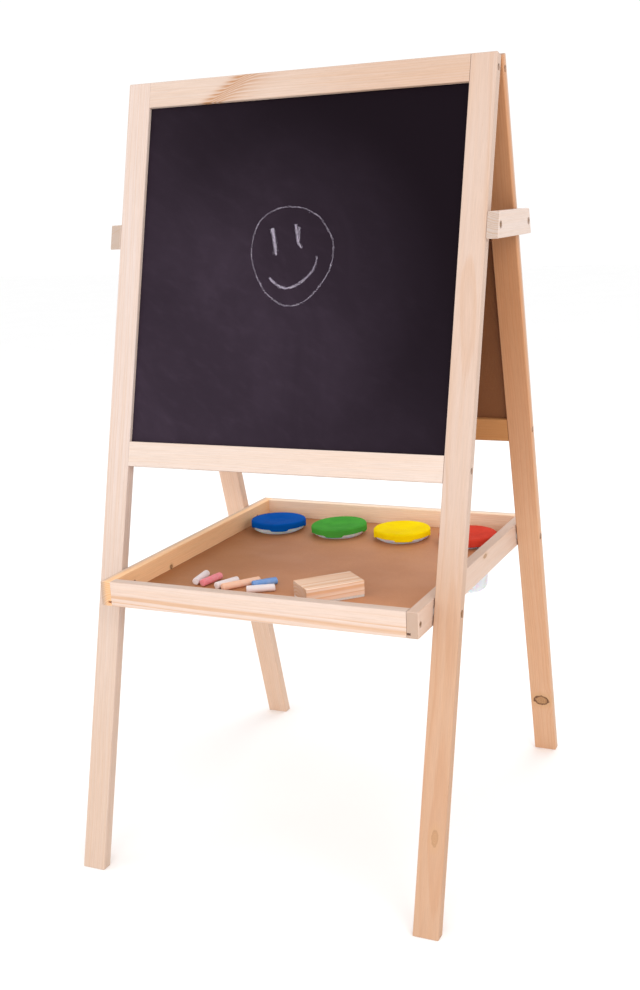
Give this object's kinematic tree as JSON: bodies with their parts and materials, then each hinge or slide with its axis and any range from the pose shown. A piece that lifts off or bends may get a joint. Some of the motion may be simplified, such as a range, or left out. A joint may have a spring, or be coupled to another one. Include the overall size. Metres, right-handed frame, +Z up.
{
  "type": "kids easel",
  "caption": "Folding wooden double-sided A-frame easel for a child, with a chalkboard, a whiteboard, side braces, a storage tray, lidded paint pots, chalk sticks and an eraser.",
  "frame": {"origin": "on the floor, midway between the four feet", "axes": "+Z is up, +X is to the right of someone facing the chalkboard, and +Y runs from the chalkboard side to the whiteboard side"},
  "size_m": [0.6046, 0.6474, 1.1414],
  "materials": {
    "pine": "planed and sanded, unvarnished softwood",
    "hardboard": "smooth brown hardboard",
    "chalkboard": "matt black writing paint on hardboard",
    "whiteboard": "gloss white dry-wipe coating on hardboard",
    "steel": "zinc plated",
    "pot_plastic": "translucent moulded plastic",
    "blue_plastic": "satin moulded plastic",
    "green_plastic": "satin moulded plastic",
    "yellow_plastic": "satin moulded plastic",
    "red_plastic": "satin moulded plastic",
    "chalk_white": "dry chalk",
    "chalk_pink": "dry chalk",
    "chalk_orange": "dry chalk",
    "chalk_blue": "dry chalk",
    "eraser_pine": "planed softwood with strong grain",
    "felt": "dense wool felt"
  },
  "bodies": {
    "front_frame": {"front_left_leg": "pine", "front_right_leg": "pine", "front_top_rail": "pine", "front_bottom_rail": "pine", "chalkboard_panel": "chalkboard", "front_frame_screws": "steel", "front_hinge_screws": "steel", "left_hinge_front_leaf": "steel", "right_hinge_front_leaf": "steel", "left_hinge_pin": "steel", "right_hinge_pin": "steel", "brace_front_bolts": "steel", "tray_front_bolts": "steel", "tray_front_washers": "steel"},
    "rear_frame": {"rear_left_leg": "pine", "rear_right_leg": "pine", "rear_top_rail": "pine", "rear_bottom_rail": "pine", "whiteboard_panel": "whiteboard", "rear_frame_screws": "steel", "rear_hinge_screws": "steel", "left_hinge_rear_leaf": "steel", "right_hinge_rear_leaf": "steel", "tray_rear_bolts": "steel", "tray_rear_washers": "steel"},
    "tray": {"tray_left_rail": "pine", "tray_right_rail": "pine", "tray_front_rail": "pine", "tray_rear_rail": "pine", "tray_base_panel": "hardboard", "tray_corner_screws": "steel"},
    "left_brace": {"left_brace": "pine", "left_brace_rear_bolt": "steel"},
    "right_brace": {"right_brace": "pine", "right_brace_rear_bolt": "steel"},
    "blue_pot": {"blue_pot_cup": "pot_plastic"},
    "blue_lid": {"blue_pot_lid": "blue_plastic"},
    "green_pot": {"green_pot_cup": "pot_plastic"},
    "green_lid": {"green_pot_lid": "green_plastic"},
    "yellow_pot": {"yellow_pot_cup": "pot_plastic"},
    "yellow_lid": {"yellow_pot_lid": "yellow_plastic"},
    "red_pot": {"red_pot_cup": "pot_plastic"},
    "red_lid": {"red_pot_lid": "red_plastic"},
    "chalk_white_short": {"chalk_white_short": "chalk_white"},
    "chalk_pink": {"chalk_pink": "chalk_pink"},
    "chalk_white_middle": {"chalk_white_middle": "chalk_white"},
    "chalk_orange": {"chalk_orange": "chalk_orange"},
    "chalk_blue": {"chalk_blue": "chalk_blue"},
    "chalk_white_long": {"chalk_white_long": "chalk_white"},
    "eraser": {"eraser_block": "eraser_pine", "eraser_felt": "felt"}
  },
  "joints": [
    {"name": "rear_fold", "type": "hinge", "parent": "front_frame", "child": "rear_frame", "pos_m": [0, 0, 1.13378], "axis": [-1, 0, 0], "range_deg": [0, 30]},
    {"name": "tray_swing", "type": "hinge", "parent": "front_frame", "child": "tray", "pos_m": [0, -0.20198, 0.4225], "axis": [-1, 0, 0], "range_deg": [0, 105]},
    {"name": "left_brace_swing", "type": "hinge", "parent": "front_frame", "child": "left_brace", "pos_m": [0, -0.06827, 0.9215], "axis": [-1, 0, 0], "range_deg": [0, 105]},
    {"name": "right_brace_swing", "type": "hinge", "parent": "front_frame", "child": "right_brace", "pos_m": [0, -0.06827, 0.9215], "axis": [-1, 0, 0], "range_deg": [0, 105]},
    {"name": "blue_pot_lift", "type": "slide", "parent": "tray", "child": "blue_pot", "axis": [0, 0, 1], "range_m": [0, 0.11]},
    {"name": "blue_lid_lift", "type": "slide", "parent": "blue_pot", "child": "blue_lid", "axis": [0, 0, 1], "range_m": [0, 0.03]},
    {"name": "green_pot_lift", "type": "slide", "parent": "tray", "child": "green_pot", "axis": [0, 0, 1], "range_m": [0, 0.11]},
    {"name": "green_lid_lift", "type": "slide", "parent": "green_pot", "child": "green_lid", "axis": [0, 0, 1], "range_m": [0, 0.03]},
    {"name": "yellow_pot_lift", "type": "slide", "parent": "tray", "child": "yellow_pot", "axis": [0, 0, 1], "range_m": [0, 0.11]},
    {"name": "yellow_lid_lift", "type": "slide", "parent": "yellow_pot", "child": "yellow_lid", "axis": [0, 0, 1], "range_m": [0, 0.03]},
    {"name": "red_pot_lift", "type": "slide", "parent": "tray", "child": "red_pot", "axis": [0, 0, 1], "range_m": [0, 0.11]},
    {"name": "red_lid_lift", "type": "slide", "parent": "red_pot", "child": "red_lid", "axis": [0, 0, 1], "range_m": [0, 0.03]},
    {"name": "chalk_white_short_lift", "type": "slide", "parent": "tray", "child": "chalk_white_short", "axis": [0, 0, 1], "range_m": [0, 0.05]},
    {"name": "chalk_pink_lift", "type": "slide", "parent": "tray", "child": "chalk_pink", "axis": [0, 0, 1], "range_m": [0, 0.05]},
    {"name": "chalk_white_middle_lift", "type": "slide", "parent": "tray", "child": "chalk_white_middle", "axis": [0, 0, 1], "range_m": [0, 0.05]},
    {"name": "chalk_orange_lift", "type": "slide", "parent": "tray", "child": "chalk_orange", "axis": [0, 0, 1], "range_m": [0, 0.05]},
    {"name": "chalk_blue_lift", "type": "slide", "parent": "tray", "child": "chalk_blue", "axis": [0, 0, 1], "range_m": [0, 0.05]},
    {"name": "chalk_white_long_lift", "type": "slide", "parent": "tray", "child": "chalk_white_long", "axis": [0, 0, 1], "range_m": [0, 0.05]},
    {"name": "eraser_lift", "type": "slide", "parent": "tray", "child": "eraser", "axis": [0, 0, 1], "range_m": [0, 0.05]}
  ],
  "couplings": [
    {"joint": "tray_swing", "follows": "rear_fold", "ratio": 3.5},
    {"joint": "left_brace_swing", "follows": "rear_fold", "ratio": 3.5},
    {"joint": "right_brace_swing", "follows": "rear_fold", "ratio": 3.5}
  ]
}
